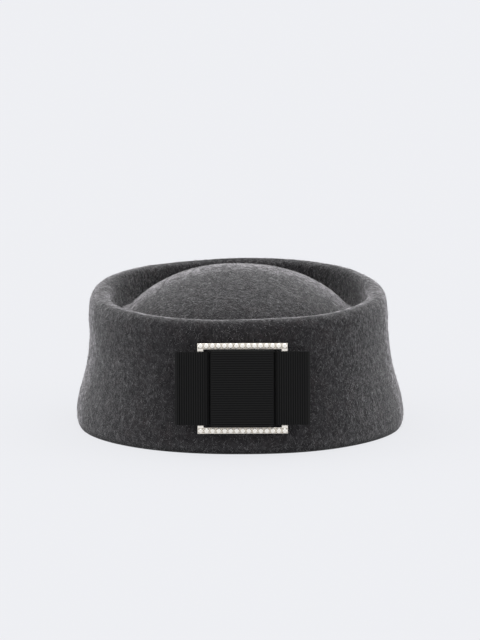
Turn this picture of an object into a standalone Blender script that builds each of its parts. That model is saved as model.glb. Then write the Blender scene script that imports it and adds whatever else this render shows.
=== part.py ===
# A one-piece felt hat with a ribbon bow and a stone-set buckle on its front.
# Metres, +Z up. The hat stands on its lower edge at z = 0 and its front faces -Y.

import math
from collections import namedtuple

import bmesh
import bpy
from mathutils import Matrix, Vector

MM = 0.001

# Felt body, outline and wall
OUTLINE_WIDTH = 175.0 * MM        # side to side, across the flare of the lower edge
OUTLINE_DEPTH = 203.0 * MM        # front to back, at the same place
FRONT_SQUARENESS = 2.23           # exponent of the oval, where 2 is an ellipse
BACK_SQUARENESS = 2.21
FELT = 2.5 * MM                   # thickness of the felt
WAIST_INSET = 8.0 * MM            # from the outline in to the waist of the wall
CROWN_LEAN = -0.8 * MM            # the rim stands this far to the right of the lower edge

# Felt body, rim
RIM_HEIGHT = 71.0 * MM            # mean height of the rim's crest
RIM_BACK_RISE = 3.3 * MM          # the back is this much higher, the front as much lower
RIM_SIDE_RISE = -0.5 * MM         # the same for the two sides against front and back
RIM_RIGHT_RISE = 0.8 * MM         # the same for the right side against the left
RIM_WIDTH = 11.0 * MM             # across the roll of the rim
RIM_ROLL = 8.3 * MM               # height of the roll above the straight wall
RIM_OUTER_SQUARENESS = 2.1        # exponent of the roll's outer half, where 2 is an ellipse
RIM_INNER_SQUARENESS = 3.2        # the same for its inner half, which turns down more sharply

# Felt body, gutter and dome
GUTTER_WIDTH = 5.0 * MM           # from the roll's inner side to the foot of the dome
GUTTER_DEPTH = 14.5 * MM          # from the rim's mean crest down to the gutter's floor
DOME_RISE = 12.3 * MM             # from the rim's mean crest up to the dome's top
DOME_FALL = 30.0 * MM             # from the dome's top to where its curve would end
DOME_FLARE = 3.0 * MM             # how softly the dome runs out into the gutter
DOME_BACK_RISE = 1.2 * MM         # the back of the dome's foot is this much higher
DOME_FULLNESS = 0.93              # how far out the dome follows its half ellipse

# Bow and buckle
FIT_GAP = 0.3 * MM                # between two pieces that touch
BOW_HEIGHT = 33.9 * MM            # table to the middle of the bow
BOW_ACROSS = -0.9 * MM            # the bow's middle is this far to the right
RIBBON = 1.0 * MM                 # thickness of the ribbon
LOOP_LENGTH = 69.5 * MM
LOOP_WIDTH = 37.4 * MM            # width of the ribbon that makes the loop
CENTRE_WIDTH = 33.4 * MM          # width of the band round the middle
CENTRE_CORNER = 1.1 * MM          # radius of the band's folds, at mid thickness
NOTCH_SLOPE = 1.3 * MM            # length over which the loop narrows to go under the band
RIBBON_PLAY = 1.35 * MM           # from the loop's edge to the buckle's bar
BUCKLE_BAR = 3.0 * MM             # width of a bar
BUCKLE_THICKNESS = 2.4 * MM       # of the side bars, which lie inside the loop
SETTING_RISE = 1.0 * MM           # the stone-set bars stand this much prouder
SETTING_RAIL = 0.3 * MM           # width of the rails at each side of the stones
SETTING_DEPTH = 1.1 * MM          # depth of the channel between the rails
BUCKLE_EDGE = 0.2 * MM            # rounding of the buckle's edges

# Stones
STONES_PER_BAR = 15
STONE_GAP = 0.25 * MM             # from a stone to its rails and to the channel's floor
TABLE_SHARE = 0.56                # width of the flat top, as a share of the stone's width

# How finely the felt is divided
SEGMENTS = 56                     # round the hat
ROLL_STEPS = 6                    # over the roll of the rim
DOME_STEPS = 8                    # from the foot of the dome to its top

# Heights as shares of the straight wall, insets as shares of WAIST_INSET.
WallRow = namedtuple("WallRow", "height inset")
WALL = (
    WallRow(0.000, 0.25),
    WallRow(0.025, 0.15),
    WallRow(0.060, 0.05),
    WallRow(0.110, 0.00),
    WallRow(0.175, 0.07),
    WallRow(0.250, 0.21),
    WallRow(0.350, 0.46),
    WallRow(0.460, 0.71),
    WallRow(0.575, 0.87),
    WallRow(0.690, 0.95),
    WallRow(0.800, 1.00),
    WallRow(0.910, 1.00),
    WallRow(1.000, 1.03),
)

# Across as shares of GUTTER_WIDTH from the roll, down as shares of the drop from
# the roll's lower end to the gutter's floor.
GutterRow = namedtuple("GutterRow", "across down")
GUTTER = (
    GutterRow(0.04, 0.45),
    GutterRow(0.16, 0.82),
    GutterRow(0.42, 1.00),
    GutterRow(0.74, 1.00),
)

# A stone's section: shares of its radius, and of its height, seat to table.
StoneRow = namedtuple("StoneRow", "radius height")
STONE = (
    StoneRow(0.35, 0.00),
    StoneRow(1.00, 0.45),
    StoneRow(1.00, 0.58),
    StoneRow(TABLE_SHARE, 1.00),
)
STONE_SIDES = 8
STONE_HEIGHT = 1.5 * MM

# Depths of the layers, outwards from the felt
BAND_BACK = FIT_GAP
LOOP_BACK = BAND_BACK + RIBBON + FIT_GAP
BUCKLE_BACK = LOOP_BACK + RIBBON + FIT_GAP
LOOP_FRONT = BUCKLE_BACK + BUCKLE_THICKNESS + FIT_GAP
BAND_FRONT = LOOP_FRONT + RIBBON + FIT_GAP
BUCKLE_OPENING = LOOP_WIDTH + 2 * RIBBON_PLAY
BUCKLE_SIZE = BUCKLE_OPENING + 2 * BUCKLE_BAR
BAND_LENGTH = BUCKLE_OPENING - 2 * FIT_GAP
COVERED_WIDTH = min(LOOP_WIDTH, BAND_LENGTH - 2 * RIBBON - 2 * FIT_GAP)


def clear_scene():
    for item in list(bpy.data.objects):
        bpy.data.objects.remove(item, do_unlink=True)


def plain_material(name, colour, roughness, metallic=0.0):
    material = bpy.data.materials.new(name)
    material.use_nodes = True
    shader = material.node_tree.nodes["Principled BSDF"]
    shader.inputs["Base Color"].default_value = (*colour, 1.0)
    shader.inputs["Roughness"].default_value = roughness
    shader.inputs["Metallic"].default_value = metallic
    return material


def add_object(name, bm, material, parent, smooth_angle=None):
    bmesh.ops.recalc_face_normals(bm, faces=bm.faces)
    mesh = bpy.data.meshes.new(name)
    bm.to_mesh(mesh)
    bm.free()
    mesh.materials.append(material)
    if smooth_angle is not None:
        mesh.shade_smooth()
        mesh.set_sharp_from_angle(angle=math.radians(smooth_angle))
    item = bpy.data.objects.new(name, mesh)
    bpy.context.collection.objects.link(item)
    item.parent = parent
    return item


def add_empty(name, parent=None):
    item = bpy.data.objects.new(name, None)
    bpy.context.collection.objects.link(item)
    item.parent = parent
    return item


def loft(bm, rings, close_path=False):
    # Quads between neighbouring rings of points, each ring closed on itself.
    rows = [[bm.verts.new(point) for point in ring] for ring in rings]
    pairs = list(zip(rows, rows[1:]))
    if close_path:
        pairs.append((rows[-1], rows[0]))
    for low, high in pairs:
        for i in range(len(low)):
            j = (i + 1) % len(low)
            bm.faces.new((low[i], low[j], high[j], high[i]))
    return rows


# The felt body

def outline_point(angle, inset):
    # A point of the oval outline, moved in along the outline's own normal.
    def on_outline(turn):
        c = math.cos(turn)
        s = math.sin(turn)
        front_share = (1.0 - s) / 2
        power = BACK_SQUARENESS + (FRONT_SQUARENESS - BACK_SQUARENESS) * front_share
        reach = (abs(c) ** power + abs(s) ** power) ** (-1.0 / power)
        return Vector((OUTLINE_WIDTH / 2 * c * reach, OUTLINE_DEPTH / 2 * s * reach, 0.0))

    step = 1e-3
    along = (on_outline(angle + step) - on_outline(angle - step)).normalized()
    inwards = Vector((-along.y, along.x, 0.0))
    return on_outline(angle) + inwards * inset


def crest_height(angle):
    return (RIM_HEIGHT + RIM_BACK_RISE * math.sin(angle)
            + RIM_SIDE_RISE * math.cos(2 * angle)
            + RIM_RIGHT_RISE * math.cos(angle))


def wall_top(angle):
    return crest_height(angle) - RIM_ROLL


def wall_inset(height_share):
    for low, high in zip(WALL, WALL[1:]):
        if height_share <= high.height:
            mix = (height_share - low.height) / (high.height - low.height)
            return WAIST_INSET * (low.inset + (high.inset - low.inset) * mix)
    return WAIST_INSET * WALL[-1].inset


def felt_ring(angles, inset_at, height_at):
    ring = []
    for angle in angles:
        point = outline_point(angle, inset_at(angle))
        point.z = height_at(angle)
        point.x += CROWN_LEAN * point.z / RIM_HEIGHT
        ring.append(point)
    return ring


def wall_rings(angles):
    rings = []
    for row in WALL:
        rings.append(felt_ring(angles, lambda a: WAIST_INSET * row.inset,
                               lambda a: wall_top(a) * row.height))
    return rings


def roll_rings(angles):
    # The roll's section goes from the wall over to the gutter, as two quarters of
    # superellipses.
    start = WAIST_INSET * WALL[-1].inset
    rings = []
    for step in range(1, ROLL_STEPS + 1):
        turn = math.pi * step / ROLL_STEPS
        outer = step < ROLL_STEPS / 2
        power = 2.0 / (RIM_OUTER_SQUARENESS if outer else RIM_INNER_SQUARENESS)
        side = math.copysign(abs(math.cos(turn)) ** power, math.cos(turn))
        up = abs(math.sin(turn)) ** power
        inset = start + RIM_WIDTH / 2 * (1.0 - side)
        rings.append(felt_ring(angles, lambda a: inset, lambda a: wall_top(a) + RIM_ROLL * up))
    return rings


def gutter_rings(angles):
    start = WAIST_INSET * WALL[-1].inset + RIM_WIDTH
    floor = RIM_HEIGHT - GUTTER_DEPTH
    rings = []
    for row in GUTTER:
        rings.append(felt_ring(angles, lambda a: start + GUTTER_WIDTH * row.across,
                               lambda a: wall_top(a) + (floor - wall_top(a)) * row.down))
    return rings


def dome_rings(angles):
    # The foot's outline shrinks towards the top. Its height follows the upper part of
    # a half ellipse, which runs out softly into the gutter's floor.
    top = RIM_HEIGHT + DOME_RISE
    floor = RIM_HEIGHT - GUTTER_DEPTH
    foot_inset = WAIST_INSET * WALL[-1].inset + RIM_WIDTH + GUTTER_WIDTH
    full_drop = 1.0 - math.sqrt(1.0 - DOME_FULLNESS ** 2)
    rings = []
    for step in range(DOME_STEPS):
        share = math.cos(0.5 * math.pi * step / DOME_STEPS)
        drop = (1.0 - math.sqrt(1.0 - (DOME_FULLNESS * share) ** 2)) / full_drop
        curve = top - DOME_FALL * drop
        height = (curve + floor + math.hypot(curve - floor, DOME_FLARE)) / 2
        ring = []
        for angle in angles:
            foot = outline_point(angle, foot_inset)
            tilt = DOME_BACK_RISE * drop * foot.y / (OUTLINE_DEPTH / 2)
            ring.append(Vector((foot.x * share + CROWN_LEAN * height / RIM_HEIGHT,
                                foot.y * share, height + tilt)))
        rings.append(ring)
    return rings


def build_felt_body(parent, material):
    angles = [2 * math.pi * i / SEGMENTS for i in range(SEGMENTS)]
    rings = wall_rings(angles) + roll_rings(angles) + gutter_rings(angles) + dome_rings(angles)
    height = RIM_HEIGHT + DOME_RISE
    top = Vector((CROWN_LEAN * height / RIM_HEIGHT, 0.0, height))

    bm = bmesh.new()
    outer = loft(bm, rings)
    outer_top = bm.verts.new(top)
    for i in range(SEGMENTS):
        bm.faces.new((outer[-1][i], outer[-1][(i + 1) % SEGMENTS], outer_top))
    bm.normal_update()

    # The inner skin is the outer one moved in by the felt's thickness.
    inner_rings = [[v.co - v.normal * FELT for v in row] for row in outer]
    for point in inner_rings[0]:
        point.z = 0.0
    inner = loft(bm, [list(reversed(ring)) for ring in inner_rings])
    inner_top = bm.verts.new(top - Vector((0.0, 0.0, FELT)))
    for i in range(SEGMENTS):
        bm.faces.new((inner[-1][i], inner[-1][(i + 1) % SEGMENTS], inner_top))

    # The flat lower edge joins the two skins.
    last = SEGMENTS - 1
    for i in range(SEGMENTS):
        j = (i + 1) % SEGMENTS
        bm.faces.new((outer[0][i], inner[0][last - i], inner[0][last - j], outer[0][j]))
    return add_object("felt_body", bm, material, parent, smooth_angle=60)


# The bow, in its own frame: X across, Y up along the wall, Z out from the felt

def bow_seat_matrix():
    # A plane laid against the front wall, touching it along the height of the loop.
    front = -math.pi / 2

    def wall_point(height):
        inset = wall_inset(height / wall_top(front))
        return Vector((-(OUTLINE_DEPTH / 2 - inset), height))

    low = wall_point(BOW_HEIGHT - LOOP_WIDTH / 2)
    high = wall_point(BOW_HEIGHT + LOOP_WIDTH / 2)
    up = (high - low).normalized()
    out = Vector((-up.y, up.x))
    middle = (low + high) / 2
    samples = [wall_point(low.y + (high.y - low.y) * i / 20) for i in range(21)]
    middle += out * max((point - middle).dot(out) for point in samples)
    turn = Matrix.Rotation(math.pi / 2 - math.atan2(up.x, up.y), 4, "X")
    return Matrix.Translation((BOW_ACROSS, middle.x, middle.y)) @ turn


def sweep_ribbon(name, path, half_width_at, axes, material, parent):
    # A closed ribbon: at each path point its wall has an inner and an outer side.
    # Each path point is (along, depth, normal along, normal depth).
    bm = bmesh.new()
    rings = []
    for along, depth, n_along, n_depth in path:
        half_width = half_width_at(along)
        ring = []
        for side, width in ((-0.5, -1), (0.5, -1), (0.5, 1), (-0.5, 1)):
            a = along + n_along * RIBBON * side
            d = depth + n_depth * RIBBON * side
            w = half_width * width
            ring.append(Vector((a, w, d)) if axes == "across" else Vector((w, a, d)))
        rings.append(ring)
    loft(bm, rings, close_path=True)
    return add_object(name, bm, material, parent, smooth_angle=40)


def flat_loop_path(half_length, back, front, corner, breaks, steps):
    # Round a flat loop: its front run, one end, its back run and the other end.
    # The breaks are where the front and back runs get a point of their own.
    low = back + corner
    high = front - corner
    end = half_length - corner
    path = [(x, front, 0.0, 1.0) for x in [-end] + breaks]
    for i in range(steps + 1):
        turn = math.pi / 2 * (1 - i / steps)
        n = (math.cos(turn), math.sin(turn))
        path.append((end + corner * n[0], high + corner * n[1], *n))
    if high - low > 1e-6:
        path.append((end + corner, low, 1.0, 0.0))
    for i in range(1, steps + 1):
        turn = -math.pi / 2 * i / steps
        n = (math.cos(turn), math.sin(turn))
        path.append((end + corner * n[0], low + corner * n[1], *n))
    path += [(x, back, 0.0, -1.0) for x in reversed(breaks)]
    for i in range(steps + 1):
        turn = math.pi / 2 * i / steps
        n = (-math.sin(turn), -math.cos(turn))
        path.append((-end + corner * n[0], low + corner * n[1], *n))
    if high - low > 1e-6:
        path.append((-end - corner, high, -1.0, 0.0))
    for i in range(1, steps):
        turn = math.pi / 2 * i / steps
        n = (-math.cos(turn), math.sin(turn))
        path.append((-end + corner * n[0], high + corner * n[1], *n))
    return path


def build_bow_loop(parent, material):
    # Under the centre band the loop is gathered to the room that the band leaves.
    back = LOOP_BACK + RIBBON / 2
    front = LOOP_FRONT + RIBBON / 2
    covered = CENTRE_WIDTH / 2 + FIT_GAP
    open_from = covered + NOTCH_SLOPE

    def half_width(across):
        if abs(across) <= covered + 1e-6:
            return COVERED_WIDTH / 2
        return LOOP_WIDTH / 2

    breaks = [-open_from, -covered, covered, open_from]
    path = flat_loop_path(LOOP_LENGTH / 2 - RIBBON / 2, back, front, (front - back) / 2,
                          breaks, 4)
    return sweep_ribbon("bow_loop", path, half_width, "across", material, parent)


def build_bow_centre(parent, material):
    path = flat_loop_path(BAND_LENGTH / 2 - RIBBON / 2, BAND_BACK + RIBBON / 2,
                          BAND_FRONT + RIBBON / 2, CENTRE_CORNER, [], 3)
    return sweep_ribbon("bow_centre", path, lambda along: CENTRE_WIDTH / 2, "up",
                        material, parent)


def build_buckle_frame(parent, material):
    # A square plate, cut open, with a stone channel sunk in its upper and lower bars.
    outer = BUCKLE_SIZE / 2
    opening = BUCKLE_OPENING / 2
    stub = LOOP_WIDTH / 2 + FIT_GAP
    xs = (-outer, -opening, opening, outer)
    ys = (-outer, -opening, -stub, stub, opening, outer)

    bm = bmesh.new()
    grid = [[bm.verts.new((x, y, BUCKLE_BACK)) for x in xs] for y in ys]
    for row in range(len(ys) - 1):
        for column in range(len(xs) - 1):
            if column == 1 and 0 < row < len(ys) - 2:
                continue
            bm.faces.new((grid[row][column], grid[row][column + 1],
                          grid[row + 1][column + 1], grid[row + 1][column]))
    lifted = bmesh.ops.extrude_face_region(bm, geom=bm.faces[:])["geom"]
    front = [f for f in lifted if isinstance(f, bmesh.types.BMFace)]
    bmesh.ops.translate(bm, vec=(0, 0, BUCKLE_THICKNESS),
                        verts=[v for v in lifted if isinstance(v, bmesh.types.BMVert)])

    # The two set bars and their stubs stand prouder than the side bars.
    set_faces = [f for f in front if abs(f.calc_center_median().y) > stub]
    lifted = bmesh.ops.extrude_face_region(bm, geom=set_faces)["geom"]
    bmesh.ops.delete(bm, geom=set_faces, context="FACES")
    bmesh.ops.translate(bm, vec=(0, 0, SETTING_RISE),
                        verts=[v for v in lifted if isinstance(v, bmesh.types.BMVert)])
    channels = [f for f in lifted if isinstance(f, bmesh.types.BMFace)
                and abs(f.calc_center_median().y) > opening]
    bmesh.ops.inset_region(bm, faces=channels, thickness=SETTING_RAIL, use_even_offset=True)
    floor = bmesh.ops.extrude_face_region(bm, geom=channels)["geom"]
    bmesh.ops.delete(bm, geom=channels, context="FACES")
    bmesh.ops.translate(bm, vec=(0, 0, -SETTING_DEPTH),
                        verts=[v for v in floor if isinstance(v, bmesh.types.BMVert)])
    bmesh.ops.dissolve_limit(bm, angle_limit=math.radians(1), verts=bm.verts, edges=bm.edges)
    frame = add_object("buckle_frame", bm, material, parent, smooth_angle=40)
    edge = frame.modifiers.new("soft_edges", "BEVEL")
    edge.width = min(BUCKLE_EDGE, SETTING_RAIL / 3)
    edge.segments = 1
    edge.limit_method = "ANGLE"
    return frame


def build_stones(parent, material):
    # One row on each set bar, from corner to corner.
    radius = BUCKLE_BAR / 2 - SETTING_RAIL - STONE_GAP
    seat = BUCKLE_BACK + BUCKLE_THICKNESS + SETTING_RISE - SETTING_DEPTH + STONE_GAP
    row_offset = (BUCKLE_SIZE - BUCKLE_BAR) / 2
    pitch = 2 * row_offset / (STONES_PER_BAR - 1)
    bm = bmesh.new()
    rings = []
    for row in STONE:
        ring = []
        for i in range(STONE_SIDES):
            turn = 2 * math.pi * (i + 0.5) / STONE_SIDES
            reach = radius * row.radius
            ring.append(Vector((reach * math.cos(turn), reach * math.sin(turn),
                                STONE_HEIGHT * row.height)))
        rings.append(ring)
    rows = loft(bm, rings)
    bm.faces.new(rows[0])
    bm.faces.new(rows[-1])
    first = add_object("stone_upper_01", bm, material, parent)
    stones = []
    for bar, side in (("upper", 1), ("lower", -1)):
        for i in range(STONES_PER_BAR):
            name = f"stone_{bar}_{i + 1:02d}"
            stone = first if name == first.name else bpy.data.objects.new(name, first.data)
            if stone is not first:
                bpy.context.collection.objects.link(stone)
                stone.parent = parent
            stone.location = (-row_offset + pitch * i, side * row_offset, seat)
            stones.append(stone)
    return stones


def centre_on_origin(hat, pieces):
    # The middle of the whole hat, bow included, comes to X = Y = 0.
    bpy.context.view_layer.update()
    corners = [piece.matrix_world @ v.co for piece in pieces for v in piece.data.vertices]
    for axis in (0, 1):
        values = [corner[axis] for corner in corners]
        hat.location[axis] = -(min(values) + max(values)) / 2


def main():
    clear_scene()
    felt = plain_material("charcoal_felt", (0.055, 0.056, 0.060), 0.95)
    loop_ribbon = plain_material("black_grosgrain_loop", (0.010, 0.010, 0.012), 0.6)
    centre_ribbon = plain_material("black_grosgrain_centre", (0.011, 0.011, 0.013), 0.6)
    metal = plain_material("bright_metal", (0.82, 0.80, 0.76), 0.2, metallic=1.0)
    crystal = plain_material("clear_crystal", (0.90, 0.89, 0.86), 0.05)

    hat = add_empty("hat")
    bow = add_empty("bow", hat)
    bow.matrix_local = bow_seat_matrix()
    pieces = [
        build_felt_body(hat, felt),
        build_bow_loop(bow, loop_ribbon),
        build_bow_centre(bow, centre_ribbon),
        build_buckle_frame(bow, metal),
    ]
    pieces += build_stones(bow, crystal)
    centre_on_origin(hat, pieces)


main()
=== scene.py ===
import math
import random

import bmesh
import bpy
from mathutils import Matrix, Vector, noise


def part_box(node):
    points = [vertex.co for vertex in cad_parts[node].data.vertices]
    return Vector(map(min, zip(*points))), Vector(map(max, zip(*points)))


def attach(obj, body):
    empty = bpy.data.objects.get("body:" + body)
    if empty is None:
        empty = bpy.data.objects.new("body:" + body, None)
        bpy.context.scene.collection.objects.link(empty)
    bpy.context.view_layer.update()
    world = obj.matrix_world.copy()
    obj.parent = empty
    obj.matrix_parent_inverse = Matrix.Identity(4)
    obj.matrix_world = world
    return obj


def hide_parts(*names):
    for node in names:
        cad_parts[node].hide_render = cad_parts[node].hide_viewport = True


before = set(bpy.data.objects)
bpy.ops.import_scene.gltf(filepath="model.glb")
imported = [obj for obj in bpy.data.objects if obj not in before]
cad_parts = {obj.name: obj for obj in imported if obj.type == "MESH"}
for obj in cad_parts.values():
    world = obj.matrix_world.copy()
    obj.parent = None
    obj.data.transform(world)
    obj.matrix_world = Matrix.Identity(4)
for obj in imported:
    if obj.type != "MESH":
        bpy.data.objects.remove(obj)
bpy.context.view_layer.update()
mm = 0.001
mergeDistance = 0.002 * mm         # points closer than this become one


# Shader helpers

class Wire:  # a node's output that can stand in a sum, such as 1 - mask * 0.5
    def __init__(self, tree, socket):
        self.tree = tree
        self.socket = socket

    @classmethod
    def make(cls, tree, kind, settings=None, sockets=None, out=0):
        node = tree.nodes.new(kind)
        for name, value in (settings or {}).items():
            if name == "stops":
                ramp = node.color_ramp.elements
                while len(ramp) < len(value):
                    ramp.new(0.5)
                for stop, (place, shade) in zip(ramp, value):
                    stop.position = place
                    stop.color = shade
            else:
                setattr(node, name, value)
        for name, value in (sockets or {}).items():
            if isinstance(value, Wire):
                tree.links.new(value.socket, node.inputs[name])
            else:
                node.inputs[name].default_value = value
        return cls(tree, node.outputs[out])

    def maths(self, operation, first, second):
        return Wire.make(self.tree, "ShaderNodeMath", {"operation": operation},
                         {0: first, 1: second})

    def __add__(self, other):
        return self.maths("ADD", self, other)

    def __radd__(self, other):
        return self.maths("ADD", other, self)

    def __sub__(self, other):
        return self.maths("SUBTRACT", self, other)

    def __rsub__(self, other):
        return self.maths("SUBTRACT", other, self)

    def __mul__(self, other):
        return self.maths("MULTIPLY", self, other)

    def between(self, low, high):  # 0 below low, 1 above high
        return Wire.make(self.tree, "ShaderNodeMapRange", {"interpolation_type": "SMOOTHSTEP"},
                         {"Value": self, "From Min": low, "From Max": high})

    def tint(self, dark, light):  # a colour from dark to light
        return Wire.make(self.tree, "ShaderNodeMix", {"data_type": "RGBA"},
                         {0: self, 6: dark, 7: light}, out=2)


def grey(value):
    return (value, value, value, 1.0)


def startMaterial(name, **fixed):
    # fixed values go straight on the shader's own sockets
    material = bpy.data.materials.new(name)
    material.use_nodes = True
    tree = material.node_tree
    shader = tree.nodes["Principled BSDF"]
    for socket, value in fixed.items():
        shader.inputs[socket.replace("_", " ")].default_value = value
    return material, tree, shader


def fractal(tree, place, scale, detail=3.0, roughness=0.55, distortion=0.0):
    return Wire.make(tree, "ShaderNodeTexNoise", {},
                     {"Vector": place, "Scale": scale, "Detail": detail,
                      "Roughness": roughness, "Distortion": distortion})


def objectPlace(tree, stretch=(1.0, 1.0, 1.0), turn=(0.0, 0.0, 0.0)):
    place = Wire.make(tree, "ShaderNodeTexCoord", out=3)
    return Wire.make(tree, "ShaderNodeMapping", {},
                     {"Vector": place, "Scale": stretch, "Rotation": turn})


def bumpUp(tree, height, strength, distance):
    return Wire.make(tree, "ShaderNodeBump", {},
                     {"Height": height, "Strength": strength, "Distance": distance})


def mixShaders(tree, share, first, second):
    return Wire.make(tree, "ShaderNodeMixShader", {}, {0: share, 1: first, 2: second})


def plug(tree, shader, **wires):
    for socket, wire in wires.items():
        tree.links.new(wire.socket, shader.inputs[socket.replace("_", " ")])


def addPiece(name, bm, material, nodes=(), smooth=True):
    mesh = bpy.data.meshes.new(name)
    bm.to_mesh(mesh)
    bm.free()
    mesh.materials.append(material)
    if smooth:
        mesh.shade_smooth()
    piece = bpy.data.objects.new(name, mesh)
    bpy.context.collection.objects.link(piece)
    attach(piece, "root")
    if nodes:
        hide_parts(*nodes)
    return piece


# Felt body: one moulded piece

bodyLow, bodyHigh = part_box("felt_body")
hat = {
    "middle": (bodyLow + bodyHigh) / 2,
    "halfWidth": (bodyHigh.x - bodyLow.x) / 2,
    "halfDepth": (bodyHigh.y - bodyLow.y) / 2,
    "frontSquareness": 2.23,       # 2 is an ellipse
    "backSquareness": 2.21,
    "thickness": 2.5 * mm,
    "waist": 8.0 * mm,             # how far in the wall goes
    "lean": -0.8 * mm,             # the rim stands this far to the right of the lower edge
    "rim": 71.0 * mm,              # mean height of the crest
    "backRise": 3.55 * mm,
    "sideRise": -0.5 * mm,
    "rightRise": 0.8 * mm,
    "rollWidth": 11.0 * mm,
    "rollHeight": 8.3 * mm,
    "rollOuter": 2.1,              # 2 is round, more is squarer
    "rollInner": 3.8,
    "gutterWidth": 5.0 * mm,
    "gutterDepth": 14.5 * mm,
    "domeBackRise": 1.2 * mm,
    "domeFullness": 0.93,
    "domeFall": 30.0 * mm,         # from the dome's top to where its curve would end
    "domeFlare": 3.0 * mm,         # how softly the dome runs out into the gutter
    "domeRadius": 70.0 * mm,       # only a scale for going inwards over the dome
    # the wall from its lower edge up: height as a share of the wall's, inset of the waist's
    "wallRows": ((0.000, 0.25), (0.025, 0.15), (0.060, 0.05), (0.110, 0.00), (0.175, 0.07),
                 (0.250, 0.21), (0.350, 0.46), (0.460, 0.71), (0.575, 0.87), (0.690, 0.95),
                 (0.800, 1.00), (0.910, 1.00), (1.000, 1.03)),
    # how far across the gutter, and how far down to its floor, as shares
    "gutterRows": ((0.03, 0.42), (0.14, 0.80), (0.40, 1.00), (0.74, 1.00)),
    # hand-moulded swellings and dents: azimuth and spread in degrees, then height and
    # spread, how far out and how far up
    "swells": ((160, 30, 66 * mm, 14 * mm, 1.2 * mm, 0.1 * mm),
               (188, 24, 58 * mm, 9 * mm, 0.8 * mm, 0.0),
               (150, 10, 68 * mm, 10 * mm, 0.2 * mm, 0.35 * mm),
               (114, 17, 68 * mm, 10 * mm, 0.0, -0.45 * mm),
               (40, 11, 68 * mm, 10 * mm, 0.0, 0.35 * mm),
               (-8, 30, 60 * mm, 12 * mm, 0.5 * mm, 0.1 * mm),
               (28, 18, 68 * mm, 9 * mm, -0.4 * mm, -0.1 * mm),
               (0, 45, 34 * mm, 18 * mm, 0.85 * mm, 0.0),
               (180, 45, 34 * mm, 18 * mm, 0.6 * mm, 0.0),
               (202, 22, 0.0, 5 * mm, 1.5 * mm, 0.0),
               (-18, 16, 0.0, 5 * mm, 1.1 * mm, 0.0),
               (-50, 18, 4 * mm, 12 * mm, -1.1 * mm, 0.0)),
    # the back's crest slopes down inwards: azimuth and spread in degrees, then how far down
    "slopedCrest": (90, 26, 3.0 * mm),
    "around": 224,                 # divisions round the hat
    "step": 1.15 * mm,             # spacing of the rings over the outside
    "innerStep": 2.3 * mm,
    "rollSteps": 14,
    "domeSteps": 16,
    "edgeSteps": 8,                # round the lower edge, from skin to skin
    "fineSteps": 12,               # between two knots, before the even steps are cut
    "waves": ((38 * mm, 0.45 * mm), (11 * mm, 0.14 * mm)),     # length and height
    "waveStart": 6 * mm,           # waves fade out from here down to the table
    "pressed": 0.5,                # how much of them is left behind the bow
}
hat["wallTop"] = hat["rim"] - hat["rollHeight"]
hat["gutterFloor"] = hat["rim"] - hat["gutterDepth"]
hat["rollInset"] = hat["waist"] * hat["wallRows"][-1][1]
hat["footInset"] = hat["rollInset"] + hat["rollWidth"] + hat["gutterWidth"]


def outlineAt(turn):
    c = math.cos(turn)
    s = math.sin(turn)
    power = hat["backSquareness"] + (hat["frontSquareness"] - hat["backSquareness"]) * (1 - s) / 2
    reach = (abs(c) ** power + abs(s) ** power) ** (-1 / power)
    return Vector((hat["halfWidth"] * c * reach, hat["halfDepth"] * s * reach, 0))


def insetOutline(turn, inset):
    nudge = 1e-3                   # radians to each side, which give the outline's direction
    along = (outlineAt(turn + nudge) - outlineAt(turn - nudge)).normalized()
    return outlineAt(turn) + Vector((-along.y, along.x, 0)) * inset


def crestShift(turn):
    # how much higher the crest is here than on average
    return (hat["backRise"] * math.sin(turn) + hat["sideRise"] * math.cos(2 * turn)
            + hat["rightRise"] * math.cos(turn))


def sectionKnots():
    # rows of inset, rise, follow and tilt, where follow is how far a point goes up and
    # down with the crest and tilt how far it goes with the dome's higher back
    knots = []
    for height, inset in hat["wallRows"]:
        knots.append((hat["waist"] * inset, hat["wallTop"] * height, height, 0.0))
    steps = hat["rollSteps"]
    for i in range(1, steps + 1):
        turn = math.pi * i / steps
        power = 2 / (hat["rollOuter"] if i < steps / 2 else hat["rollInner"])
        side = math.copysign(abs(math.cos(turn)) ** power, math.cos(turn))
        up = abs(math.sin(turn)) ** power
        knots.append((hat["rollInset"] + hat["rollWidth"] / 2 * (1 - side),
                      hat["wallTop"] + hat["rollHeight"] * up, 1.0, 0.0))
    drop = hat["gutterFloor"] - hat["wallTop"]
    for across, down in hat["gutterRows"]:
        knots.append((hat["rollInset"] + hat["rollWidth"] + hat["gutterWidth"] * across,
                      hat["wallTop"] + drop * down, 1 - down, across ** 3))
    top = bodyHigh.z
    fullness = hat["domeFullness"]
    fullDrop = 1 - math.sqrt(1 - fullness ** 2)
    for i in range(hat["domeSteps"] + 1):
        share = math.cos(math.pi / 2 * i / hat["domeSteps"])
        fall = (1 - math.sqrt(1 - (fullness * share) ** 2)) / fullDrop
        curve = top - hat["domeFall"] * fall
        apart = curve - hat["gutterFloor"]
        flared = (curve + hat["gutterFloor"] + math.hypot(apart, hat["domeFlare"])) / 2
        flared -= hat["domeFlare"] ** 2 / 4 / (top - hat["gutterFloor"]) * (1 - fall)
        knots.append((hat["footInset"] + (1 - share) * hat["domeRadius"], flared, 0.0, fall))
    return knots


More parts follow.
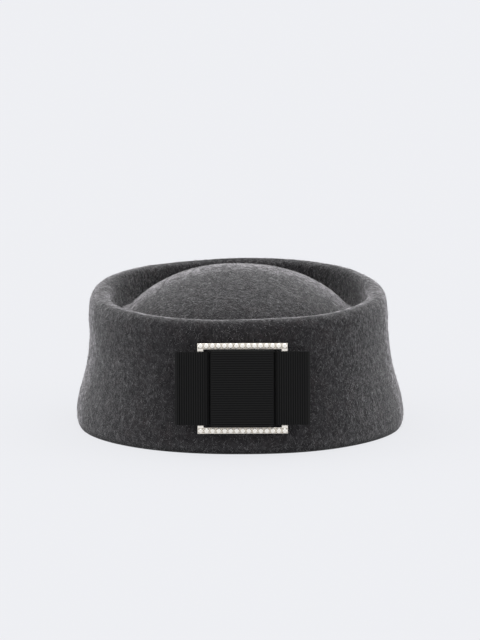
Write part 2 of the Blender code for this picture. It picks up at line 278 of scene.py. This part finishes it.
def smoothRows(knots, step):
    # a smooth curve through the knots, cut into even steps
    fine = []
    for i in range(len(knots) - 1):
        p = [knots[max(0, min(len(knots) - 1, i + k))] for k in (-1, 0, 1, 2)]
        for n in range(hat["fineSteps"]):
            t = n / hat["fineSteps"]
            fine.append([0.5 * (2 * b + (c - a) * t + (2 * a - 5 * b + 4 * c - d) * t * t
                                + (3 * b - a - 3 * c + d) * t ** 3)
                         for a, b, c, d in zip(*p)])
    fine.append(list(knots[-1]))
    lengths = [0.0]
    for a, b in zip(fine, fine[1:]):
        lengths.append(lengths[-1] + math.hypot(b[0] - a[0], b[1] - a[1]))
    count = round(lengths[-1] / step)
    rows = []
    at = 0
    for n in range(count + 1):
        want = lengths[-1] * n / count
        while at < len(lengths) - 2 and lengths[at + 1] < want:
            at += 1
        span = max(lengths[at + 1] - lengths[at], 1e-9)     # never zero
        mix = min(1.0, (want - lengths[at]) / span)
        rows.append([a + (b - a) * mix for a, b in zip(fine[at], fine[at + 1])])
    return rows


def insideOf(rows):
    # the inner skin: each row moved in, square to the section, by the felt's thickness
    moved = []
    for i, row in enumerate(rows):
        before = rows[max(0, i - 1)]
        after = rows[min(len(rows) - 1, i + 1)]
        along = Vector((after[0] - before[0], after[1] - before[1])).normalized()
        if i == len(rows) - 1:
            along = Vector((1, 0))
        moved.append([row[0] + along.y * hat["thickness"], row[1] - along.x * hat["thickness"],
                      row[2], row[3]])
    moved[-1][0] = rows[-1][0]
    return moved


def wholeSection():
    # from the top of the dome down the outside, round the lower edge and up the inside
    knots = sectionKnots()
    outer = smoothRows(knots, hat["step"])
    inner = insideOf(smoothRows(knots, hat["innerStep"]))
    edgeMiddle = [(outer[0][0] + inner[0][0]) / 2, (outer[0][1] + inner[0][1]) / 2]
    radius = hat["thickness"] / 2
    spoke = Vector((outer[0][0] - edgeMiddle[0], outer[0][1] - edgeMiddle[1])).normalized()
    down = Vector((spoke.y, -spoke.x))
    if down.y > 0:
        down = -down
    edge = []
    for i in range(1, hat["edgeSteps"]):
        turn = math.pi * i / hat["edgeSteps"]
        point = spoke * math.cos(turn) * radius + down * math.sin(turn) * radius
        edge.append([edgeMiddle[0] + point.x, max(0.0, edgeMiddle[1] + point.y), 0.0, 0.0])
    return list(reversed(outer)) + edge + inner, len(outer)


def bell(turn, azimuth, spread):
    # 1 at the azimuth, less to both sides, with both in degrees
    off = (math.degrees(turn) - azimuth + 180) % 360 - 180
    return math.exp(-(off / spread) ** 2)


def placeOnHat(turn, row):
    inset, rise, follow, tilt = row
    share = 1 - max(0.0, inset - hat["footInset"]) / hat["domeRadius"]
    foot = insetOutline(turn, min(inset, hat["footInset"]))
    height = rise + crestShift(turn) * follow
    height += hat["domeBackRise"] * foot.y / hat["halfDepth"] * tilt
    lean = hat["lean"] * height / hat["rim"]
    azimuth, spread, slope = hat["slopedCrest"]
    inwards = min(1.0, max(0.0, (inset - hat["rollInset"]) / hat["rollWidth"] * 2 - 1))
    height -= slope * bell(turn, azimuth, spread) * inwards * follow
    if inset < hat["rollInset"] + hat["rollWidth"]:
        outwards = (foot - insetOutline(turn, inset + mm)).normalized()
        for azimuth, spread, level, reach, out, up in hat["swells"]:
            amount = bell(turn, azimuth, spread) * math.exp(-((rise - level) / reach) ** 2)
            across = max(0.0, 1 - inset / (hat["rollInset"] + hat["rollWidth"]))
            foot += outwards * out * amount * across ** 0.5
            height += up * amount
    place = Vector((foot.x * share + lean, foot.y * share, height))
    return hat["middle"] * Vector((1, 1, 0)) + place


def feltHat(material):
    # gives the places where loose hairs can grow, as corners and normal of each outer face
    rows, outerRows = wholeSection()
    bm = bmesh.new()
    outside = bm.verts.layers.int.new("outside")
    bmesh.ops.create_cone(bm, cap_ends=False, segments=hat["around"], radius1=1, radius2=1,
                          depth=1)
    upright = [e for e in bm.edges if abs(e.verts[0].co.z - e.verts[1].co.z) > 0.5]
    bmesh.ops.subdivide_edges(bm, edges=upright, cuts=len(rows) - 2)
    for v in bm.verts:
        number = round((0.5 - v.co.z) * (len(rows) - 1))
        v[outside] = number < outerRows
        v.co = placeOnHat(math.atan2(v.co.y, v.co.x), rows[number])
    bmesh.ops.remove_doubles(bm, verts=bm.verts, dist=mergeDistance)
    bmesh.ops.recalc_face_normals(bm, faces=bm.faces)
    handWork(bm)
    skin = [([v.co.copy() for v in face.verts], face.normal.copy()) for face in bm.faces
            if all(v[outside] for v in face.verts)]
    bm.verts.layers.int.remove(outside)
    addPiece("feltHat", bm, material, ["felt_body"])
    return skin


def handWork(bm):
    # moulded by hand: slow waves all over, and a pressed flat place behind the bow
    bm.normal_update()
    bowLow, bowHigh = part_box("bow_loop")
    for v in bm.verts:
        p = v.co
        wave = sum(noise.noise(p / length) * height for length, height in hat["waves"])
        behindBow = p.y < 0 and bowLow.x < p.x < bowHigh.x and bowLow.z < p.z < bowHigh.z
        if behindBow:
            wave = -abs(wave) * hat["pressed"]
        v.co = p + v.normal * wave * min(1.0, p.z / hat["waveStart"])
    for v in bm.verts:
        v.co.z = max(0.0, v.co.z)


feltLook = {
    "dark": (0.0155, 0.0146, 0.0157, 1),
    "ground": (0.0245, 0.0231, 0.0247, 1),
    "warm": (0.0285, 0.0233, 0.0243, 1),     # faint brownish patches
    "pale": (0.048, 0.0455, 0.048, 1),
    "paintedRimSheen": (0.52, 0.50, 0.52, 1),           # painted sheen: a pale colour mixed in where the felt turns edge-on, for the light that upright wool ends catch there; partly real fuzz, partly painted light
    "paintedRimSheenFrom": 0.71,                        # 0 faces the eye, 1 is edge on
    "darkSheen": 0.22,
    "paleSheen": 1.0,
    "sheenRoughness": 0.45,
    "bump": 0.68 * mm,
    "paintedHemShadow": (0.0, 4.2 * mm),                  # painted shadow: the felt is darker at the lower edge, where shade falls by the table, and this fades out between these heights
    "paintedHemShadowColour": (0.0050, 0.0047, 0.0052, 1),
    # noise: scale, detail, roughness and distortion
    "cloud": (70, 2, 0.5),
    "clump": (330, 5, 0.78, 0.4),
    "mottle": (520, 4, 0.75, 0.5),
    "hue": (95, 3, 0.6),
    "strand": (1, 3, 0.7, 0.8),
    # streaks: stretch, turn, place in the noise, and the levels where they start and are full
    "upright": ((820, 820, 450), (0.30, -0.26, 0.4), 3.1, 0.46, 0.72),
    "lying": ((430, 800, 800), (0.2, 0.5, 0.35), 7.3, 0.48, 0.74),
    "slanting": ((800, 430, 800), (0.5, -0.35, -0.5), 1.7, 0.48, 0.74),
    "shade": ((800, 800, 430), (-0.45, 0.4, 0.9), 5.9, 0.48, 0.74),
}


def feltFinish():
    # dark wool and pale wool with more sheen, mixed in short streaks, with a painted sheen at the
    # edges and a painted shadow along the lower edge
    material, tree, dark = startMaterial(
        "charcoalFelt", Sheen_Weight=feltLook["darkSheen"], Specular_IOR_Level=0.06,
        Sheen_Roughness=feltLook["sheenRoughness"], Sheen_Tint=grey(0.85), Roughness=0.95)
    place = objectPlace(tree)
    cloud = fractal(tree, place, *feltLook["cloud"])
    clump = fractal(tree, place, *feltLook["clump"])
    mottle = fractal(tree, place, *feltLook["mottle"])

    def strands(stretch, turn, seed, low, high):
        # thin wavy streaks, long where the stretch is small
        where = Wire.make(tree, "ShaderNodeMapping", {},
                          {"Vector": objectPlace(tree, turn=turn), "Scale": stretch,
                           "Location": (seed, seed * 0.7, -seed)})
        return fractal(tree, where, *feltLook["strand"]).between(low, high)

    upright, lying, slanting, shade = [
        strands(*feltLook[way]) for way in ("upright", "lying", "slanting", "shade")]
    streak = (upright + lying + slanting) * 0.85 * (0.35 + mottle.between(0.35, 0.65) * 0.65)
    relief = clump * 0.9 + mottle * 0.5 + streak * 0.4 - shade * 0.3
    normal = bumpUp(tree, relief, 0.8, feltLook["bump"])

    hue = fractal(tree, place, *feltLook["hue"]).between(0.45, 0.70)
    ground = hue.tint(feltLook["ground"], feltLook["warm"])
    # painted shadow: darker wool, less pale wool and no edge sheen along the lower edge, where
    # shade falls by the table
    height = Wire.make(tree, "ShaderNodeSeparateXYZ", {}, {0: place}, out=2)
    paintedHemShadow = height.between(*feltLook["paintedHemShadow"])
    body = (clump.between(0.36, 0.64) * (1 - shade * 0.7)).tint(feltLook["dark"], ground)
    plug(tree, dark, Base_Color=paintedHemShadow.tint(feltLook["paintedHemShadowColour"], body), Normal=normal)
    pale = Wire.make(tree, "ShaderNodeBsdfPrincipled", {}, {
        "Base Color": mottle.between(0.3, 0.7).tint(ground, feltLook["pale"]), "Roughness": 0.95,
        "Normal": normal, "Sheen Weight": feltLook["paleSheen"], "Specular IOR Level": 0.06,
        "Sheen Roughness": feltLook["sheenRoughness"], "Sheen Tint": grey(0.9)})
    share = (streak * 0.45 + clump.between(0.40, 0.68) * 0.45) * (0.75 + cloud * 0.5) * paintedHemShadow
    felt = mixShaders(tree, share, Wire(tree, dark.outputs[0]), pale)

    # painted sheen: a pale rough colour mixed in where the surface turns edge-on, standing in for
    # the light that upright wool ends catch at the silhouette
    paintedRimSheen = Wire.make(tree, "ShaderNodeBsdfPrincipled", {}, {
        "Base Color": feltLook["paintedRimSheen"], "Roughness": 1.0, "Specular IOR Level": 0.0})
    facing = Wire.make(tree, "ShaderNodeLayerWeight", {}, {"Blend": 0.5}, out=1)
    edge = facing.between(feltLook["paintedRimSheenFrom"], 1.0) * paintedHemShadow * (
        clump.between(0.42, 0.62) * 0.95 + streak * 0.4)
    feltWithPaintedSheen = mixShaders(tree, edge, felt, paintedRimSheen)
    tree.links.new(feltWithPaintedSheen.socket, tree.nodes["Material Output"].inputs["Surface"])
    return material


# Loose wool hairs that lie on the felt and stand a little off it

hairs = {
    "count": 30000,
    "radius": 0.045 * mm,          # at the thickest place, both ends are points
    "thickest": 0.45,              # as a share of the length
    "length": (0.9 * mm, 3.2 * mm),
    "curl": 0.3,                   # how far a usual tip goes aside, as a share of the length
    "lift": 0.18 * mm,             # how far a usual hair's tip stands off
    "stray": 0.08,                 # share of hairs that stand off more
    "strayLift": 3,                # this many times as far
    "upright": 0.45,               # how much the hairs on the wall tend to stand up and down
    "clear": 0.02 * mm,            # they stay this far above the table
    "seed": 11,
    "dark": (0.030, 0.0285, 0.030, 1),
    "pale": (0.100, 0.096, 0.100, 1),
}


def hairFinish():
    material, tree, shader = startMaterial(
        "looseWool", Roughness=0.9, Sheen_Weight=0.8, Sheen_Roughness=0.5, Specular_IOR_Level=0.1)
    tone = fractal(tree, objectPlace(tree), 260, 2).between(0.35, 0.65)
    plug(tree, shader, Base_Color=tone.tint(hairs["dark"], hairs["pale"]))
    return material


def looseHairs(skin, material):
    # one hair, repeated by an array, then every copy laid in its own place
    bm = bmesh.new()
    bmesh.ops.create_circle(bm, segments=3, radius=1)
    bmesh.ops.translate(bm, verts=bm.verts, vec=(0, 0, hairs["thickest"]))
    bmesh.ops.create_vert(bm, co=(0, 0, 0))
    bmesh.ops.create_vert(bm, co=(0, 0, 1))
    bmesh.ops.convex_hull(bm, input=bm.verts)
    bmesh.ops.recalc_face_normals(bm, faces=bm.faces)
    mesh = bpy.data.meshes.new("oneHair")
    bm.to_mesh(mesh)
    bm.free()
    maker = bpy.data.objects.new("oneHair", mesh)
    bpy.context.collection.objects.link(maker)
    many = maker.modifiers.new("many", "ARRAY")
    many.count = hairs["count"]
    many.use_relative_offset = False
    many.use_constant_offset = True
    many.constant_offset_displace = (0, 0, 0)
    whole = bpy.data.meshes.new_from_object(
        maker.evaluated_get(bpy.context.evaluated_depsgraph_get()))
    template = [v.co.copy() for v in mesh.vertices]
    bpy.data.objects.remove(maker)
    bpy.data.meshes.remove(mesh)

    pick = random.Random(hairs["seed"])
    areas = [(face[2] - face[0]).cross(face[-1] - face[1]).length for face, _ in skin]
    for number, (face, normal) in enumerate(pick.choices(skin, areas, k=hairs["count"])):
        a, b = pick.random(), pick.random()
        root = face[0].lerp(face[1], a).lerp(face[-1].lerp(face[-2], a), b)
        wander = Vector((pick.gauss(0, 1), pick.gauss(0, 1), pick.gauss(0, 1)))
        wander.z += math.copysign(hairs["upright"] * (1 - abs(normal.z)), wander.z)
        along = (wander - normal * wander.dot(normal)).normalized()
        side = along.cross(normal)
        length = pick.uniform(*hairs["length"])
        lift = hairs["lift"] * abs(pick.gauss(0, 1))
        if pick.random() < hairs["stray"]:
            lift *= hairs["strayLift"]
        curl = pick.gauss(0, hairs["curl"]) * length
        for k, p in enumerate(template):
            lies = root + along * p.z * length + side * (p.x * hairs["radius"] + curl * p.z ** 2)
            stands = normal * (p.y * hairs["radius"] + lift * p.z ** 1.5)
            whole.vertices[number * len(template) + k].co = lies + stands
    bm = bmesh.new()
    bm.from_mesh(whole)
    bpy.data.meshes.remove(whole)
    for v in bm.verts:
        v.co.z = max(hairs["clear"], v.co.z)
    addPiece("feltHairs", bm, material)


# Bow: a frame that lies on the front wall, X across, Y up the wall, Z out from the felt

bow = {
    "loopLength": 69.5 * mm,
    "loopWidth": 37.4 * mm,
    "coveredWidth": 36.6 * mm,     # the loop is gathered to this under the band
    "gatherSlope": 1.6 * mm,
    "bandWidth": 32.0 * mm,
    "bandShift": -0.3 * mm,        # the band sits a little to the left
    "bandLength": 39.4 * mm,
    "bandDepth": 7.6 * mm,         # from the band's back to its front
    "loopDepth": 5.0 * mm,
    "thickness": 0.8 * mm,
    "bandCorner": 1.3 * mm,
    "loopCorner": 2.49 * mm,       # nearly half its depth, so its ends are round
    "bandPlay": 0.2 * mm,          # the gathered part reaches this far past the band
    "dip": 0.9 * mm,               # the band presses the loop's front in beside it
    "dipPlace": 0.5 * mm,          # from the band's edge to the deepest line
    "dipSpread": 0.8 * mm,
    "ribPitch": 1.19 * mm,
    "bandRibHeight": 0.16 * mm,
    "loopRibHeight": 0.24 * mm,
    "ribRoundness": 0.7,           # 1 is a half wave, less is fuller
    "bandSelvedge": 2.0 * mm,      # ribs grow flatter from here out to the edge
    "loopSelvedge": 0.8 * mm,
    "edgeRib": 0.2,                # share of their height that is left at the edge
    "wobble": 0.12 * mm,           # how uneven the ribbon is
    "wobbleScale": (60, 2, 40),    # by place, across the ribbon and along it
    "columnsPerRib": 6,
    "rows": 22,
}


def bowFrame():
    # leans as the chord of the front wall behind the loop
    low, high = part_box("bow_loop")
    middle = (low + high) / 2
    front = -math.pi / 2
    top = hat["wallTop"] + crestShift(front)

    def insetAt(height):
        share = height / top
        for a, b in zip(hat["wallRows"], hat["wallRows"][1:]):
            if share <= b[0]:
                return hat["waist"] * (a[1] + (b[1] - a[1]) * (share - a[0]) / (b[0] - a[0]))

    reach = bow["loopWidth"] / 2
    lean = math.atan2(insetAt(middle.z + reach) - insetAt(middle.z - reach), 2 * reach)
    return Matrix.Translation(middle) @ Matrix.Rotation(math.pi / 2 - lean, 4, "X")


def flatLoop(halfLength, halfDepth, corner):
    # a function that gives the point and the outward way at each length round a flat loop,
    # and the length once round
    a = halfLength - corner
    d = halfDepth - corner
    arc = math.pi / 2 * corner
    total = 4 * (a + d + arc)
    # a straight leg's length and start, then the length and centre of the corner after it
    legs = ((2 * a, (-a, d)), (arc, (a, d)), (2 * d, (a, d)), (arc, (a, -d)),
            (2 * a, (a, -d)), (arc, (-a, -d)), (2 * d, (-a, -d)), (arc, (-a, d)))

    def at(length):
        length %= total
        for number, (span, (x, z)) in enumerate(legs):
            if length <= span:
                turn = math.pi / 2 * (number // 2)
                point = Vector((x, z))
                if number % 2:
                    turn += length / corner
                else:
                    point += Vector((math.cos(turn), -math.sin(turn))) * length
                out = Vector((math.sin(turn), math.cos(turn)))
                return point + out * corner, out
            length -= span
        return Vector((-a, d + corner)), Vector((0, 1))

    return at, total


def ribbedRibbon(name, part, path, halfWidthAt, lie, material, node):
    # a grid wrapped round the loop, with a rib across it at each pitch, then given a wall
    at, total = path
    ribs = round(total / bow["ribPitch"])
    columns = ribs * bow["columnsPerRib"]
    bm = bmesh.new()
    uv = bm.loops.layers.uv.new("UVMap")
    bmesh.ops.create_grid(bm, x_segments=columns, y_segments=bow["rows"], size=0.5)
    for face in bm.faces:
        for corner in face.loops:
            v = corner.vert.co
            corner[uv].uv = ((v.x + 0.5) * ribs, v.y * 2)     # rib number, edge to edge
    for v in bm.verts:
        length = (v.co.x + 0.5) * total
        across = math.sin(math.pi * v.co.y)
        point, out = at(length)
        half = halfWidthAt(point.x)
        fromEdge = half * (1 - abs(across)) / bow[part + "Selvedge"]
        fade = min(1.0, bow["edgeRib"] + (1 - bow["edgeRib"]) * fromEdge)
        rib = abs(math.sin(math.pi * ribs * length / total)) ** bow["ribRoundness"]
        lift = bow[part + "RibHeight"] * (rib - 1) * fade
        byPlace, crosswise, lengthwise = bow["wobbleScale"]
        where = Vector((point.x * byPlace, across * crosswise, length * lengthwise))
        wobble = noise.noise(where) * bow["wobble"]
        point = point + out * (lift + min(0.0, wobble))
        w = across * (half + wobble)
        if part == "loop":
            fromBand = abs(point.x - bow["bandShift"]) - bow["bandWidth"] / 2
            off = (fromBand - bow["dipPlace"]) / bow["dipSpread"]
            press = bow["dip"] * math.exp(-off ** 2) if out.y > 0.5 else 0.0
            v.co = lie @ Vector((point.x, w, point.y - press))
        else:
            v.co = lie @ Vector((w + bow["bandShift"], point.x, point.y))
    bmesh.ops.remove_doubles(bm, verts=bm.verts, dist=mergeDistance)
    bmesh.ops.recalc_face_normals(bm, faces=bm.faces)
    piece = addPiece(name, bm, material, [node])
    wall = piece.modifiers.new("wall", "SOLIDIFY")
    wall.thickness = bow["thickness"]
    wall.offset = -1
    wall.use_even_offset = False
    return piece


def loopHalfWidth(x):
    covered = bow["bandWidth"] / 2 + bow["bandPlay"]
    mix = max(0.0, min(1.0, (abs(x) - covered) / bow["gatherSlope"]))
    mix = mix * mix * (3 - 2 * mix)
    return (bow["coveredWidth"] + (bow["loopWidth"] - bow["coveredWidth"]) * mix) / 2


def makeBow(material):
    lie = bowFrame()
    loopPath = flatLoop(bow["loopLength"] / 2, bow["loopDepth"] / 2, bow["loopCorner"])
    bandPath = flatLoop(bow["bandLength"] / 2, bow["bandDepth"] / 2, bow["bandCorner"])
    loop = ribbedRibbon("bowLoop", "loop", loopPath, loopHalfWidth, lie, material, "bow_loop")
    band = ribbedRibbon("bowBand", "band", bandPath, lambda x: bow["bandWidth"] / 2, lie,
                        material, "bow_centre")
    return lie


def grosgrainFinish():
    material, tree, shader = startMaterial("blackGrosgrain", Specular_IOR_Level=0.10)
    place = objectPlace(tree)
    chart = Wire.make(tree, "ShaderNodeTexCoord", out=2)
    ribNumber = Wire.make(tree, "ShaderNodeSeparateXYZ", {}, {0: chart})
    across = Wire.make(tree, "ShaderNodeSeparateXYZ", {}, {0: chart}, out=1)
    ridge = ribNumber.maths("PINGPONG", ribNumber, 0.5) * 2
    edge = across.maths("ABSOLUTE", across, 0).between(0.88, 0.93)
    patch = fractal(tree, place, 130, 3)
    thread = fractal(tree, place, 2600, 2, 0.5)
    # painted light: rib crests lighter and the grooves between them darker, as light and shade fall
    # on the ribs; the flat selvedge at a middle tone
    lit = ridge.between(0.15, 0.95) * (1 - edge) + edge * 0.45
    colour = (lit * (0.75 + patch * 0.5) + thread * 0.2 - 0.1).tint(grey(0.0020), grey(0.0135))
    plug(tree, shader, Base_Color=colour, Roughness=0.50 + patch * 0.20,
         Normal=bumpUp(tree, thread, 0.25, 0.1 * mm))
    return material


# Buckle and stones

stone = {
    "radius": 1.28 * mm,           # at the girdle, which stands over the setting's rails
    "height": 1.5 * mm,
    # from the table down: sides, radius and height as shares, and turn in sides
    "rings": ((8, 0.56, 1.05, 0.0), (8, 0.80, 0.93, 0.5), (16, 1.00, 0.70, 0.5),
              (16, 1.00, 0.63, 0.5), (8, 0.45, 0.16, 0.0), (8, 0.10, 0.00, 0.0)),
    "facetAngle": math.radians(1.5),         # faces that differ less become one facet
    "prong": 0.27 * mm,            # radius of a bead
    "prongSide": 0.62 * mm,        # from the row's middle line
    "prongUp": 0.30 * mm,          # over the stones' middles
}
buckleLook = {
    "metal": ((0.93, 0.88, 0.80, 1), (1.0, 0.96, 0.88, 1)),
    "crystal": ((0.95, 0.91, 0.84, 1), (1.0, 0.97, 0.90, 1)),
}


def metalFinish():
    material, tree, shader = startMaterial("brightMetal", Metallic=0.45)
    place = objectPlace(tree)
    smear = fractal(tree, place, 240, 3)
    scratch = fractal(tree, objectPlace(tree, (1, 1, 8), (0, 0.4, 0)), 900, 2)
    plug(tree, shader, Base_Color=smear.tint(*buckleLook["metal"]),
         Roughness=0.32 + smear * 0.16,
         Normal=bumpUp(tree, scratch, 0.12, 0.05 * mm))
    return material


def crystalFinish():
    material, tree, shader = startMaterial("foiledCrystal", Metallic=0.6)
    cloud = fractal(tree, objectPlace(tree), 420, 1)
    plug(tree, shader, Base_Color=cloud.tint(*buckleLook["crystal"]),
         Roughness=0.10 + cloud * 0.14)
    return material


def cutStone(name, node, lie, material):
    # a brilliant: rings of corners wrapped in the smallest closed skin, then merged to facets
    bm = bmesh.new()
    for sides, radius, height, turn in stone["rings"]:
        ring = bmesh.ops.create_circle(bm, segments=sides, radius=radius * stone["radius"])["verts"]
        bmesh.ops.rotate(bm, verts=ring, matrix=Matrix.Rotation(2 * math.pi * turn / sides, 3, "Z"))
        bmesh.ops.translate(bm, verts=ring, vec=(0, 0, (height - 0.5) * stone["height"]))
    bmesh.ops.delete(bm, geom=bm.edges[:], context="EDGES_FACES")
    hull = bmesh.ops.convex_hull(bm, input=bm.verts)
    spare = [v for v in hull["geom_interior"] if isinstance(v, bmesh.types.BMVert)]
    bmesh.ops.delete(bm, geom=spare, context="VERTS")
    bmesh.ops.dissolve_limit(bm, angle_limit=stone["facetAngle"], verts=bm.verts, edges=bm.edges)
    bmesh.ops.recalc_face_normals(bm, faces=bm.faces)
    low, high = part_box(node)
    place = Matrix.Translation((low + high) / 2) @ lie.to_3x3().to_4x4()
    bmesh.ops.transform(bm, verts=bm.verts, matrix=place)
    addPiece(name, bm, material, [node], smooth=False)


def makeStones(lie, material):
    count = len([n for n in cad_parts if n.startswith("stone_upper")])
    centres = []
    for bar in ("upper", "lower"):
        for i in range(1, count + 1):
            node = f"stone_{bar}_{i:02d}"
            cutStone(f"crystal{bar.title()}{i:02d}", node, lie, material)
            low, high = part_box(node)
            centres.append(lie.inverted() @ ((low + high) / 2))
    return centres


def makeProngs(lie, centres, material):
    # two small beads of metal hold each pair of neighbours
    bm = bmesh.new()
    for a, b in zip(centres, centres[1:]):
        if abs(a.y - b.y) > mm:
            continue
        for side in (-1, 1):
            middle = (a + b) / 2 + Vector((0, side * stone["prongSide"], stone["prongUp"]))
            bead = bmesh.ops.create_icosphere(bm, subdivisions=2, radius=stone["prong"])["verts"]
            bmesh.ops.translate(bm, verts=bead, vec=middle)
    bmesh.ops.transform(bm, verts=bm.verts, matrix=lie)
    addPiece("prongs", bm, material)


# Stage: pale floor, soft light and the camera

stage = {
    "floorSize": 12.0,
    "floorColour": (0.068, 0.069, 0.0715, 1.0),
    "floorGlow": (0.750, 0.756, 0.782, 1.0),
    "worldColour": (0.97, 0.975, 1.0, 1.0),
    "worldStrength": 0.82,
    "lights": (                     # name, strength, softness, azimuth and height it comes from
        ("topLight", 2.3, 70, 180, 66),
        ("leftLight", 0.6, 60, 262, 18),
        ("rightLight", 0.6, 60, 98, 18),
    ),
}
view = {
    "distance": 2.0,
    "height": 0.373,
    "sideways": 1.2,               # degrees that the camera stands to the left of the front
    "down": 0.1582,                # radians that it looks down
    "lens": 212.06,
    "farthest": 50.0,              # nothing past this distance is drawn
}


def makeStage():
    bm = bmesh.new()
    bmesh.ops.create_grid(bm, x_segments=1, y_segments=1, size=stage["floorSize"] / 2)
    mesh = bpy.data.meshes.new("floor")
    bm.to_mesh(mesh)
    bm.free()
    floor = bpy.data.objects.new("floor", mesh)
    bpy.context.collection.objects.link(floor)
    # a pale lit table, so shadows stay faint
    material, tree, shader = startMaterial(
        "paleFloor", Base_Color=stage["floorColour"], Roughness=0.9, Specular_IOR_Level=0.0,
        Emission_Color=stage["floorGlow"], Emission_Strength=1.0)
    mesh.materials.append(material)
    world = bpy.data.worlds.new("softRoom")
    world.use_nodes = True
    background = world.node_tree.nodes["Background"]
    background.inputs["Color"].default_value = stage["worldColour"]
    background.inputs["Strength"].default_value = stage["worldStrength"]
    bpy.context.scene.world = world
    for name, strength, softness, azimuth, height in stage["lights"]:
        data = bpy.data.lights.new(name, "SUN")
        data.energy = strength
        data.angle = math.radians(softness)
        lamp = bpy.data.objects.new(name, data)
        bpy.context.collection.objects.link(lamp)
        # azimuth 0 shines from the front, 90 from the right
        lamp.rotation_euler = (math.radians(90 - height), 0, math.radians(azimuth))
    bpy.context.scene.view_settings.view_transform = "Standard"


def makeCamera():
    data = bpy.data.cameras.new("photoCamera")
    data.lens = view["lens"]
    data.clip_end = view["farthest"]
    camera = bpy.data.objects.new("photoCamera", data)
    bpy.context.collection.objects.link(camera)
    turn = math.radians(view["sideways"])
    camera.location = hat["middle"] * Vector((1, 1, 0)) + Vector(
        (-view["distance"] * math.sin(turn), -view["distance"] * math.cos(turn), view["height"]))
    camera.rotation_euler = (math.pi / 2 - view["down"], 0, -turn)
    bpy.context.scene.camera = camera


makeStage()
makeCamera()
print("stage and camera ready")
skin = feltHat(feltFinish())
looseHairs(skin, hairFinish())
print("felt body ready")
lie = makeBow(grosgrainFinish())
print("bow ready")
metal = metalFinish()
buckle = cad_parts["buckle_frame"]
buckle.data.materials.clear()
buckle.data.materials.append(metal)
centres = makeStones(lie, crystalFinish())
makeProngs(lie, centres, metal)
print("buckle and stones ready")
